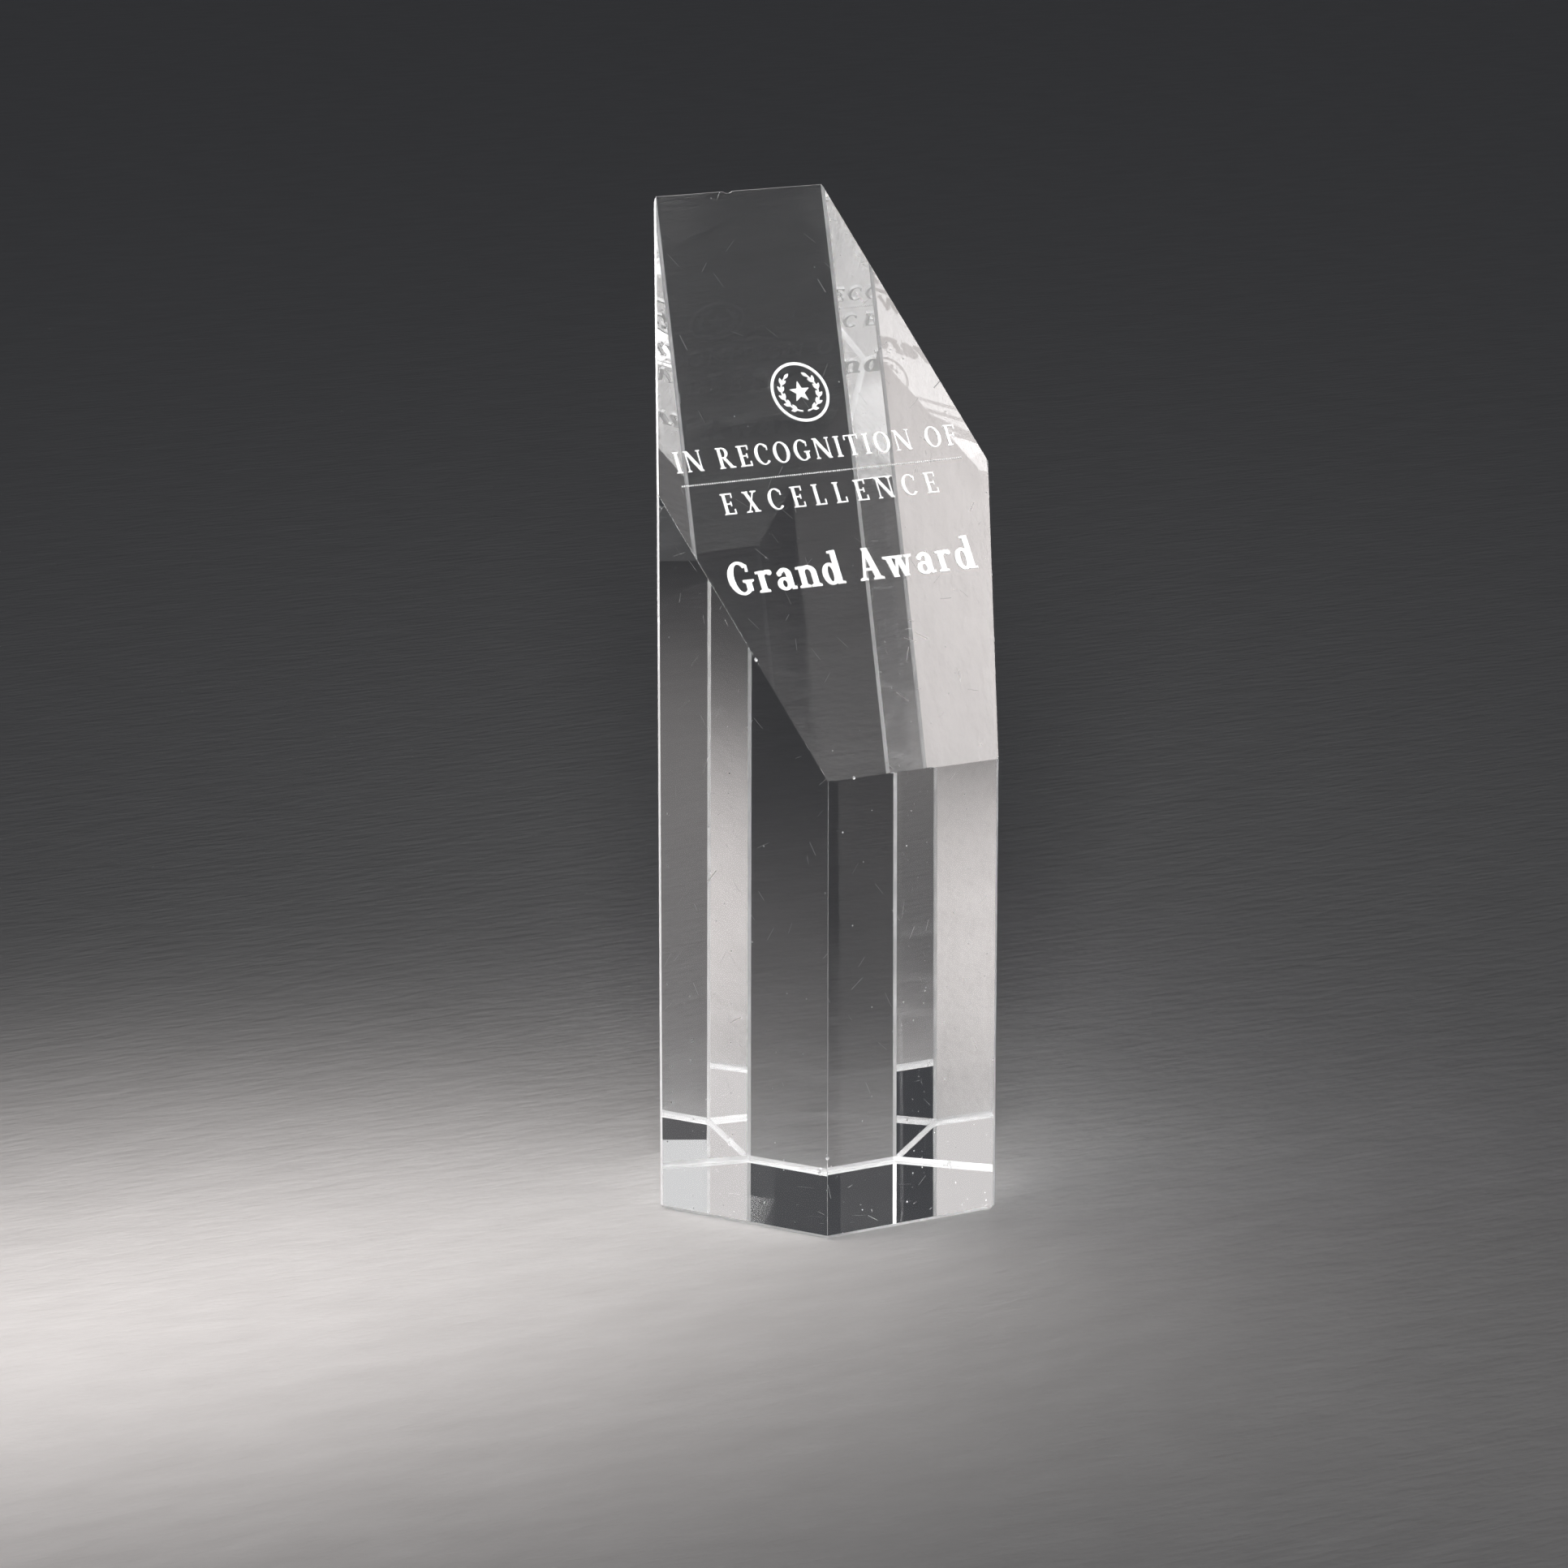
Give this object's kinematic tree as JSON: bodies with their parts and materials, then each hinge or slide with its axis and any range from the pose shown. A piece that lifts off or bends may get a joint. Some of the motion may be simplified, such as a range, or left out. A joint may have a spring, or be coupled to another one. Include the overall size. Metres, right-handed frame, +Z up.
{
  "type": "crystal award",
  "caption": "Solid six-sided crystal block cut to a long slope, with a white-filled round emblem, rule and lettering on it.",
  "frame": {"origin": "middle of the flat base, which is the bottom of the bounding box", "axes": "+Z up along the block's six upright edges, -Y out of the low front flat, +Y out of the tall back flat, +X to the right corner as the lettering is read"},
  "size_m": [0.0776, 0.0696, 0.2029],
  "materials": {
    "crystal": "polished",
    "white_fill": "matte"
  },
  "bodies": {
    "root": {"crystal_tower": "crystal", "emblem_rim": "white_fill", "emblem_star": "white_fill", "laurel_left": "white_fill", "laurel_right": "white_fill", "rule": "white_fill", "top_line_01_I": "white_fill", "top_line_02_N": "white_fill", "top_line_03_R": "white_fill", "top_line_04_E": "white_fill", "top_line_05_C": "white_fill", "top_line_06_O": "white_fill", "top_line_07_G": "white_fill", "top_line_08_N": "white_fill", "top_line_09_I": "white_fill", "top_line_10_T": "white_fill", "top_line_11_I": "white_fill", "top_line_12_O": "white_fill", "top_line_13_N": "white_fill", "top_line_14_O": "white_fill", "top_line_15_F": "white_fill", "middle_line_01_E": "white_fill", "middle_line_02_X": "white_fill", "middle_line_03_C": "white_fill", "middle_line_04_E": "white_fill", "middle_line_05_L": "white_fill", "middle_line_06_L": "white_fill", "middle_line_07_E": "white_fill", "middle_line_08_N": "white_fill", "middle_line_09_C": "white_fill", "middle_line_10_E": "white_fill", "title_01_G": "white_fill", "title_02_r": "white_fill", "title_03_a": "white_fill", "title_04_n": "white_fill", "title_05_d": "white_fill", "title_06_A": "white_fill", "title_07_w": "white_fill", "title_08_a": "white_fill", "title_09_r": "white_fill", "title_10_d": "white_fill"}
  },
  "joints": []
}
